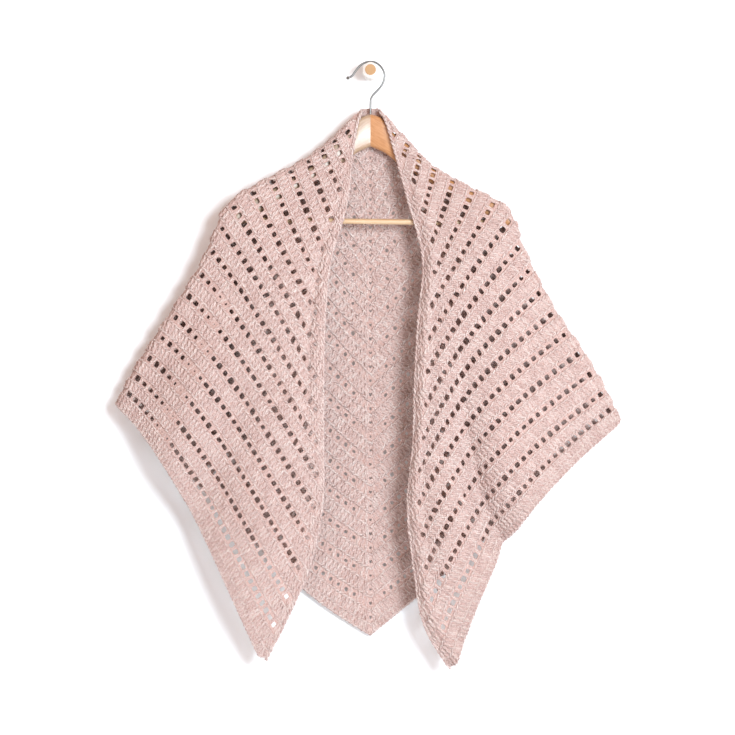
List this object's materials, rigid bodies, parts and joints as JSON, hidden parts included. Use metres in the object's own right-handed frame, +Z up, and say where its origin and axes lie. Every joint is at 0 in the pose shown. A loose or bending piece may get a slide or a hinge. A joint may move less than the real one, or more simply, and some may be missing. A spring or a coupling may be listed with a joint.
{
  "type": "crocheted triangle shawl on a wooden hanger, hung by its hook from a wall peg",
  "caption": "Chunky crocheted triangle shawl with V-shaped eyelet rows, draped over a wooden hanger that hangs from a round wall peg.",
  "frame": {"origin": "centre of the wall peg's flat back face, where the wall holds the whole part", "axes": "+Z up, +Y into the wall, -Y towards the viewer, +X to the viewer's right"},
  "size_m": [0.7802, 0.1037, 0.9436],
  "materials": {
    "yarn": "matt, slightly hairy, chunky dusty-pink melange yarn",
    "hanger_wood": "sanded beech under satin clear lacquer",
    "bar_wood": "turned pale hardwood, satin",
    "hook_steel": "drawn and nickel-plated wire, satin",
    "tip_steel": "dark rounded end, dull",
    "peg_wood": "turned dowel, pale sides and bare end grain"
  },
  "bodies": {
    "root": {"back_panel": "yarn", "left_front": "yarn", "right_front": "yarn", "hanger_arm_left": "hanger_wood", "hanger_arm_right": "hanger_wood", "trouser_bar": "bar_wood", "hook": "hook_steel", "hook_tip": "tip_steel", "wall_peg": "peg_wood"}
  },
  "joints": []
}
